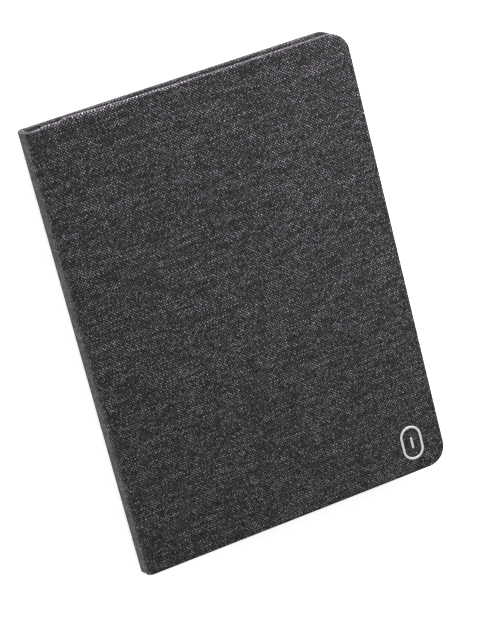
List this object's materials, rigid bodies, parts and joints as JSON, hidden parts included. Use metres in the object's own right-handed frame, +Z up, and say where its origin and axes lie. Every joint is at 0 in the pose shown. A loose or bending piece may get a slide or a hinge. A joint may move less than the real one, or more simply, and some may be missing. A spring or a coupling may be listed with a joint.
{
  "type": "tablet folio case",
  "caption": "Folio case with a padded woven-cloth cover hinged by a stiff spine to a back panel, whose moulded tray and soft corner grips hold a tablet.",
  "frame": {"origin": "middle of the closed case's footprint, on the surface it lies on", "axes": "+Z up through the front cover, +Y to the tablet's top edge, spine at -X"},
  "size_m": [0.182, 0.249, 0.0171],
  "materials": {
    "outer_cloth": "heathered charcoal woven polyester",
    "lining": "light grey brushed microfibre",
    "foam": "soft closed-cell padding",
    "board": "grey-brown fibreboard",
    "bond": "double-sided bonding sheet",
    "tray": "fine-textured black polycarbonate",
    "grip": "soft-touch black elastomer",
    "bezel": "smooth black plastic",
    "magnet": "nickel-plated magnet",
    "emblem": "satin silver",
    "emblem_field": "dark plate"
  },
  "bodies": {
    "back": {"back_cloth": "outer_cloth", "back_foam": "foam", "back_board": "board", "back_bond_sheet": "bond", "tray_shell": "tray", "tray_liner": "lining", "camera_bezel": "bezel", "corner_grip_top_spine": "grip", "corner_grip_top_fore": "grip", "corner_grip_bottom_spine": "grip", "corner_grip_bottom_fore": "grip"},
    "spine": {"back_crease_cloth": "outer_cloth", "back_crease_lining": "lining", "spine_cloth": "outer_cloth", "spine_board": "board", "spine_lining": "lining"},
    "cover": {"front_crease_cloth": "outer_cloth", "front_crease_lining": "lining", "cover_cloth": "outer_cloth", "cover_foam": "foam", "cover_board": "board", "cover_lining": "lining", "closure_magnets": "magnet", "wake_magnet": "magnet", "emblem": "emblem", "emblem_bar": "emblem_field"}
  },
  "joints": [
    {"name": "spine_fold", "type": "hinge", "parent": "back", "child": "spine", "pos_m": [-0.09025, 0, 0.00075], "axis": [0, -1, 0], "range_deg": [0, 90], "deforming": ["back_crease_cloth", "back_crease_lining"]},
    {"name": "cover_fold", "type": "hinge", "parent": "spine", "child": "cover", "pos_m": [-0.09025, 0, 0.01615], "axis": [0, -1, 0], "range_deg": [0, 90], "deforming": ["front_crease_cloth", "front_crease_lining"]}
  ]
}
